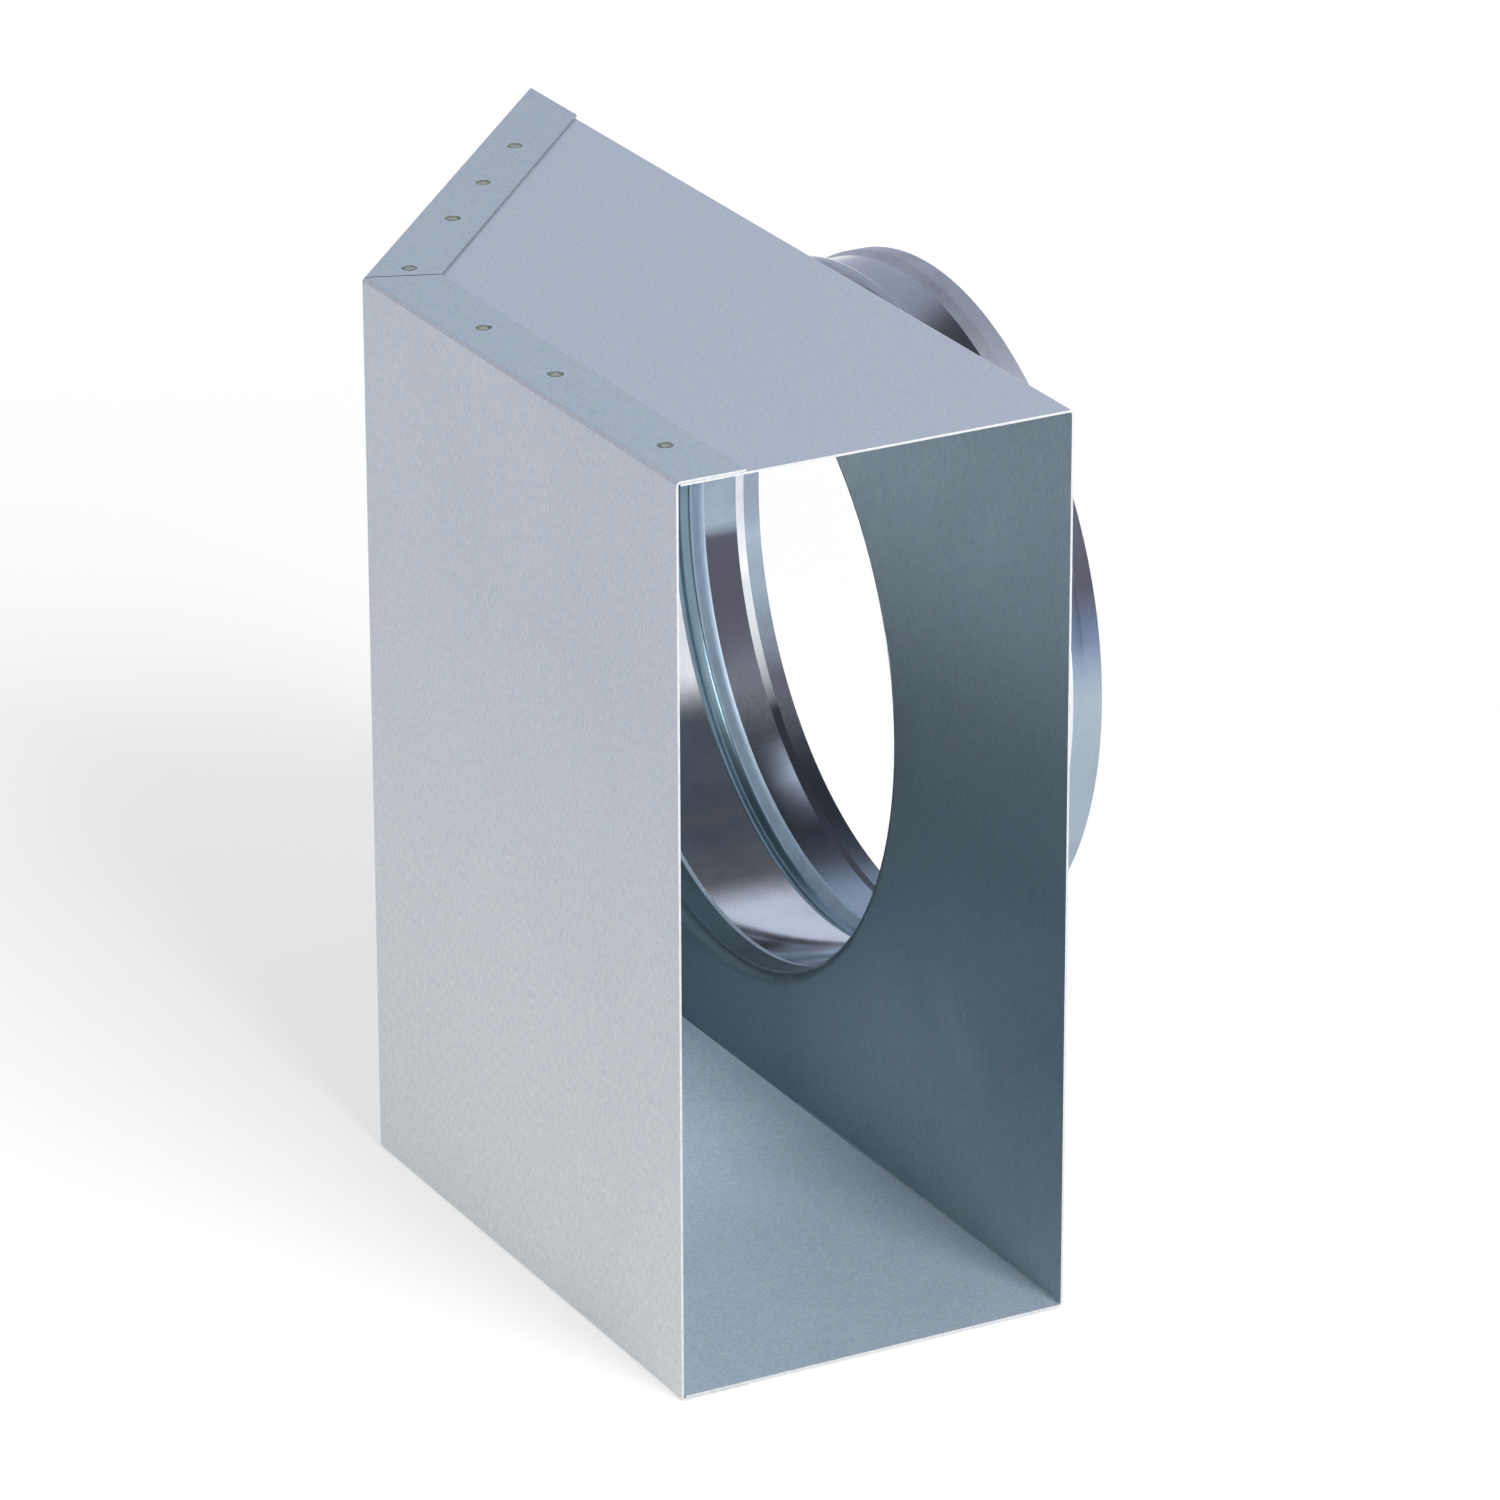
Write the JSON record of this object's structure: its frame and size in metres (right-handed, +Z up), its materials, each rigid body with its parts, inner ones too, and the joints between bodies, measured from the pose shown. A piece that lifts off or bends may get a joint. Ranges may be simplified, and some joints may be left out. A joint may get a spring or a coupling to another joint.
{
  "type": "flat-to-round duct elbow",
  "caption": "Galvanised sheet duct elbow that turns air from a flat rectangular mouth into a round beaded side collar, with a slanted back to guide the flow.",
  "frame": {"origin": "middle of the footprint's bounding box, on the plane of the bottom flanges that the elbow stands on", "axes": "+Z up, +Y from the flat mouth to the rear corner, +X out of the round collar"},
  "size_m": [0.141, 0.24, 0.2],
  "materials": {
    "channel_galvanised": "galvanised, fine matt spangle",
    "wrapper_galvanised": "galvanised, fine matt spangle with an upright grain",
    "collar_bright": "galvanised, bright and smooth from rolling",
    "weld_tint": "yellowish grey heat tint of a spot weld"
  },
  "bodies": {
    "root": {"channel_sheet": "channel_galvanised", "wrapper_sheet": "wrapper_galvanised", "round_collar": "collar_bright"}
  },
  "joints": []
}
